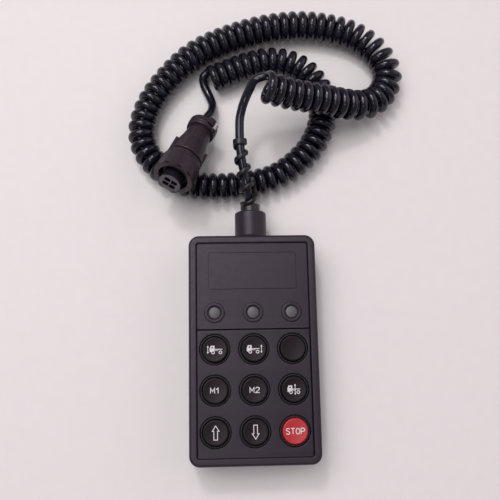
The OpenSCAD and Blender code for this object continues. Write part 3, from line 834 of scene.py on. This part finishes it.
def make_indicator_panel():
    """Upper panel with a sunk field and three rounded collars."""
    spots = [middle("lens_" + side).xy for side in LAMP_SIDES]
    holes = [ring_of(LENS_HOLE_R, 48, spot) for spot in spots]
    outline = panel_outline(SPLIT_Y + SPLIT_HALF_GAP, PANEL_END)
    panel = plate([outline, *holes], PANEL_BOTTOM, PANEL_TOP, 0.35)
    field = box_outline(LABEL_W + 0.4, LABEL_L + 0.4, 1, 6, LABEL_SPOT)
    pocket = loft([[(x, y, z) for x, y in field] for z in (PANEL_TOP - 0.5, 30)])
    panel = boolean(panel, pocket, "DIFFERENCE")
    collar = rounded([(LENS_HOLE_R, 27, 0), (6.4, 27, 0), (6.4, 28.35, 0), (6.1, 29, 0.6), (4.6, 29, 0.6),
        (LENS_HOLE_R, 28.3, 0)], 5)
    collars = [lathe(collar, 72, centre=spot) for spot in spots]
    whole = merged([panel, *collars])
    return make_piece("lamp_panel", whole, "panel", "handset", replaces=["indicator_panel"], sharp=40)


def make_keypad_panel():
    """Lower panel with nine chamfered holes."""
    holes = [ring_of(9.5, 96, middle("key_" + key).xy) for key in KEYS]
    outline = panel_outline(-PANEL_END, SPLIT_Y - SPLIT_HALF_GAP)
    panel = plate([outline, *holes], PANEL_BOTTOM, PANEL_TOP, 0.5)
    return make_piece("key_panel", panel, "panel", "handset", replaces=["keypad_panel"], sharp=40)


def make_label():
    """A blank film label in the sunk field."""
    low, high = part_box("label_plate")
    label = plate([box_outline(LABEL_W, LABEL_L, 0.8, 6, LABEL_SPOT)], low.z / MM, high.z / MM, 0.12)
    return make_piece("blank_label", label, "label", "handset", replaces=["label_plate"])


def make_key_seal():
    """Silicone mat with a rounded collar in each key hole."""
    low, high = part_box("keypad_seal")
    spots = [middle("key_" + key).xy for key in KEYS]
    inner = 8.3
    border = box_outline(66.5, (high.y - low.y) / MM, 1, 5, middle("keypad_seal").xy)
    mat = plate([border, *[ring_of(inner, 64, spot) for spot in spots]], 23.9, PANEL_BOTTOM, 0.1)
    collar = rounded([(inner, 24.5, 0), (9.1, 24.5, 0), (9.1, 27.4, 0.35), (inner, 27.4, 0.35)], 3)
    collars = [lathe(collar, 72, centre=spot) for spot in spots]
    whole = merged([mat, *collars])
    return make_piece("key_seal_mat", whole, "key_seal", "handset", replaces=["keypad_seal"])


def make_lenses():
    """Smoke-grey lenses with a shallow dome and a flange under the panel."""
    edge_r, edge_z, dome_h = 3.4, 28.15, 0.3
    outline = [(0, LEDGE_BOTTOM), (4.7, LEDGE_BOTTOM), (4.7, 25.1), (3.6, PANEL_BOTTOM), (3.6, 28.0),
        (edge_r, edge_z)]
    for k in range(1, 7):
        share = 1 - k / 6
        outline.append((edge_r * share, edge_z + dome_h * (1 - share**2)))
    for side in LAMP_SIDES:
        node = "lens_" + side
        lens = lathe(outline, 48, centre=middle(node).xy)
        make_piece("lamp_lens_" + side, lens, "lens", "handset", replaces=[node])


make_indicator_panel()
make_keypad_panel()
make_label()
make_key_seal()
make_lenses()


# ---------------------------------------------------------------- keys and their legends

KEY_R = 7.8
KEY_FLANGE = (8.9, 22.6, 23.7)
RIM_R = 6.4
DISH_R = 60
DISH_DEPTH = 0.5
BOARD_TOP = 15.6
INK = 0.5
INK_BOTTOM = -0.05
INK_TOP = 0.04


def dish(x, y):
    """How high a key's hollow top stands above its lowest point."""
    return DISH_R - math.sqrt(DISH_R**2 - x * x - y * y)


def make_key(key):
    """A dished cap with a rounded rim, its flange and plunger."""
    node = "key_" + key
    low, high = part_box(node)
    bottom = low.z / MM
    top = high.z / MM
    lowest = top - DISH_DEPTH
    flange_r, flange_bottom, flange_top = KEY_FLANGE
    rim = [(2.6, bottom, 0), (2.6, flange_bottom, 0), (flange_r, flange_bottom, 0), (flange_r, flange_top, 0),
        (KEY_R, flange_top, 0), (KEY_R, top, 0.75), (RIM_R, lowest + dish(RIM_R, 0), 0)]
    radii = [RIM_R * (1 - k / 8) for k in range(1, 9)]
    hollow = [(radius, lowest + dish(radius, 0)) for radius in radii]
    cap = lathe([(0, bottom), *rounded(rim, 6), *hollow], 96, centre=middle(node).xy)
    finish = "key_stop" if key == "stop" else "key"
    make_piece("cap_" + key, cap, finish, node, replaces=[node], sharp=50)


def make_dome(key):
    """A thin contact dome under its key."""
    node = "dome_" + key
    outside = [(4.2, BOARD_TOP), (5.0, BOARD_TOP), (4.9, 16.3), (4.0, 17.2), (3.4, 18.4), (3.0, 19.3),
        (2.6, 19.6), (0, 19.6)]
    inside = [(0, 18.9), (2.2, 18.9), (2.7, 18.2), (3.3, 16.9), (4.1, 16.0)]
    shell = lathe(outside + inside, 48, centre=middle(node).xy)
    dome = make_piece("contact_" + node, shell, "dome", "handset", replaces=[node], sharp=60)
    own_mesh(dome)


def stroke(points, closed=False, width=INK):
    """A flat line of ink along points, mitred at its corners."""
    places = [Vector(p) for p in points]
    rings = []
    for i, place in enumerate(places):
        back = places[i - 1] if closed or i else None
        ahead = places[(i + 1) % len(places)] if closed or i < len(places) - 1 else None
        first = (place - back).normalized() if back else (ahead - place).normalized()
        last = (ahead - place).normalized() if ahead else first
        across = Vector((-(first + last).y, (first + last).x)).normalized()
        across *= width / 2 / max(0.4, across.dot(Vector((-first.y, first.x))))
        left, right = place + across, place - across
        rings.append([(*left, INK_BOTTOM), (*right, INK_BOTTOM), (*right, INK_TOP), (*left, INK_TOP)])
    return loft(rings, wrap=closed)


def curved(points, closed=False, width=INK):
    """A line of ink along a smooth curve through points."""
    around = {"before": (*points[-1], 0), "after": (*points[1], 0)} if closed else {}
    knots = [*points, points[0]] if closed else points
    path = [p.xy for p in smooth_path([(*p, 0) for p in knots], 0.3, **around)]
    return stroke(path[:-1] if closed else path, closed, width)


def filled(*outlines):
    """A patch of ink, the first outline its border and the others holes."""
    return plate(outlines, INK_BOTTOM, INK_TOP)


def scaled(points, x, y, width, height):
    """Points given in a unit square, in their place on the key."""
    return [(x + u * width, y + v * height) for u, v in points]


def letter(sign, x, y, width, height):
    """One generic block letter or figure, its lower left corner at x, y."""
    straight = {
        "M": [[(0, 0), (0, 1), (0.5, 0.35), (1, 1), (1, 0)]],
        "1": [[(0.1, 0.72), (0.55, 1), (0.55, 0)]],
        "2": [[(0.88, 0.58), (0, 0), (1, 0)]],
        "T": [[(0, 1), (1, 1)], [(0.5, 1), (0.5, 0)]],
        "P": [[(0, 0), (0, 1)], [(0, 1), (0.6, 1)], [(0, 0.46), (0.6, 0.46)]],
    }
    bent = {
        "2": [(0.03, 0.76), (0.2, 0.96), (0.55, 1.02), (0.88, 0.9), (0.95, 0.7), (0.88, 0.58)],
        "S": [(0.95, 0.82), (0.75, 0.98), (0.4, 1.0), (0.1, 0.88), (0.1, 0.65), (0.4, 0.53), (0.75, 0.44),
            (0.95, 0.28), (0.88, 0.08), (0.6, -0.01), (0.25, 0.02), (0.02, 0.18)],
        "P": [(0.6, 1), (0.88, 0.93), (1, 0.73), (0.88, 0.53), (0.6, 0.46)],
    }
    parts = [stroke(scaled(line, x, y, width, height)) for line in straight.get(sign, [])]
    if sign in bent:
        parts.append(curved(scaled(bent[sign], x, y, width, height)))
    if sign == "O":
        oval = ring_of(0.5, 16, (0.5, 0.5))
        parts.append(stroke(scaled(oval, x, y, width, height), closed=True))
    return parts


def word(signs, width, height, gap):
    """Letters in a row, centred on the key."""
    total = len(signs) * width + (len(signs) - 1) * gap
    parts = []
    for i, sign in enumerate(signs):
        parts += letter(sign, -total / 2 + i * (width + gap), -height / 2, width, height)
    return parts


def level_arrow(x, low, high):
    """A slim upright arrow with a head at each end."""
    parts = [stroke([(x, low + 0.9), (x, high - 0.9)], width=0.4)]
    parts.append(filled([(x - 0.65, low + 1.1), (x, low), (x + 0.65, low + 1.1)]))
    parts.append(filled([(x + 0.65, high - 1.1), (x, high), (x - 0.65, high - 1.1)]))
    return parts


def lorry(x):
    """A small generic lorry: cab, chassis and two wheels. x is the cab's front."""
    cab = [(x, -1.5), (x, 0.6), (x + 0.7, 2.3), (x + 3.0, 2.3), (x + 3.0, -0.4), (x + 2.4, -1.0),
        (x + 1.5, -1.0), (x + 1.0, -1.5)]
    window = [(x + 1.0, 0.7), (x + 1.35, 1.6), (x + 2.1, 1.6), (x + 2.1, 0.7)]
    parts = [filled(cab, window)]
    parts.append(stroke([(x + 3.0, 0.1), (x + 7.8, 0.1)], width=0.45))
    parts.append(stroke([(x + 3.0, -0.6), (x + 5.2, -0.6)], width=0.3))
    for wheel_x in (x + 2.1, x + 6.6):
        parts.append(stroke(ring_of(0.85, 18, (wheel_x, -1.75)), closed=True, width=0.45))
    return parts


def block_arrow(up):
    """The outline of a broad arrow."""
    half = [(0, 4.1), (2.0, 1.0), (1.1, 1.0), (1.1, -4.1)]
    sign = 1 if up else -1
    outline = [(x, y * sign) for x, y in half] + [(-x, y * sign) for x, y in reversed(half[1:])]
    return [stroke(outline, closed=True, width=0.45)]


LEGENDS = {
    "front_axle": level_arrow(-4.3, -2.6, 2.5) + lorry(-3.2),
    "rear_axle": lorry(-4.4) + level_arrow(4.6, -2.6, 2.5),
    "memory_1": word("M1", 2.5, 3.1, 0.7),
    "memory_2": word("M2", 2.5, 3.1, 0.9),
    "middle_axle": lorry(-4.1) + level_arrow(0.6, -3.4, 3.2),
    "raise": block_arrow(up=True),
    "lower": block_arrow(up=False),
    "stop": word("STOP", 2.25, 3.4, 0.75),
}


def make_legend(key):
    """Ink that follows the hollow of its key."""
    node = "key_" + key
    ink = merged(LEGENDS[key])
    for vertex in ink.vertices:
        vertex.co.z += dish(vertex.co.x, vertex.co.y)
    centre = middle(node)
    moved(ink, Matrix.Translation((centre.x, centre.y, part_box(node)[1].z / MM - DISH_DEPTH)))
    make_piece("legend_" + key, ink, "legend", node)


for key in KEYS:
    make_key(key)
    make_dome(key)
for key in LEGENDS:
    make_legend(key)


# ---------------------------------------------------------------- CAD pieces that stay


def soften(node, finish, edge):
    """Gives a CAD piece its finish, and a fine radius along its edges."""
    piece = frame["nodes"][node]
    piece.data.materials.clear()
    piece.data.materials.append(FINISH[finish])
    weld = piece.modifiers.new("weld", "WELD")
    weld.merge_threshold = 0.01 * MM
    bevel = piece.modifiers.new("edges", "BEVEL")
    bevel.width = edge * MM
    bevel.segments = 2
    bevel.limit_method = "ANGLE"
    bevel.angle_limit = math.radians(50)
    normals = piece.modifiers.new("normals", "WEIGHTED_NORMAL")
    normals.keep_sharp = True


STAYING = {
    "cover_gasket": ("gasket", 0.2),
    "circuit_board": ("board", 0.1),
    "board_screws": ("screws", 0.15),
    "controller_chip": ("chip", 0.15),
    "cable_header": ("header", 0.2),
    "signal_wires": ("wires", 0.1),
    "cable_clamp": ("clamp", 0.3),
    "cable_clamp_screws": ("screws", 0.15),
    "cable_core": ("cord", 0.3),
    "indicator_leds": ("led", 0.1),
    "plug_contacts": ("contacts", 0.1),
    "plug_face_seal": ("gasket", 0.2),
    "plug_retaining_ring": ("spring_steel", 0.1),
    "plug_cable_end": ("cord", 0.3),
    "plug_wires": ("wires", 0.1),
}
for node, (finish, edge) in STAYING.items():
    soften(node, finish, edge)


# ---------------------------------------------------------------- floor and light


def make_floor():
    """A plain pale sheet."""
    mesh = bpy.data.meshes.new("floor")
    side = 1.6
    corners = [(-side, -side, 0), (side, -side, 0), (side, side, 0), (-side, side, 0)]
    mesh.from_pydata(corners, [], [(0, 1, 2, 3)])
    mesh.materials.append(make_material("floor_paper", (0.80, 0.762, 0.767), 0.6, 0.8, 0.01, 0.01, 0.03))
    floor = bpy.data.objects.new("floor", mesh)
    floor.location.z = -0.0002
    SCENE.collection.objects.link(floor)


def make_light(name, place, size, power, colour=(1, 1, 1)):
    """A square lamp that shines at the middle of the object."""
    data = bpy.data.lights.new(name, "AREA")
    data.size = size
    data.energy = power
    data.color = colour
    lamp = bpy.data.objects.new(name, data)
    lamp.location = place
    lamp.rotation_mode = "QUATERNION"
    lamp.rotation_quaternion = (Vector(place) - Vector((0, 0.08, 0))).to_track_quat("Z", "Y")
    SCENE.collection.objects.link(lamp)


make_floor()
make_light("soft_top", (-0.7, 0.7, 2.2), 1.8, 35, (1.0, 0.96, 0.97))
make_light("soft_right", (1.3, 0.6, 0.9), 1.6, 4.5, (1.0, 0.92, 0.94))
make_light("main_lamp", (-0.3, 0.8, 1.35), 0.17, 3.4)
make_light("near_lamp", (-0.25, -0.5, 1.35), 0.2, 1.2)
world = bpy.data.worlds.new("studio")
SCENE.world = world
world.use_nodes = True
world.node_tree.nodes["Background"].inputs["Color"].default_value = (1.0, 0.96, 0.98, 1)
world.node_tree.nodes["Background"].inputs["Strength"].default_value = 0.25
SCENE.view_settings.view_transform = "Standard"
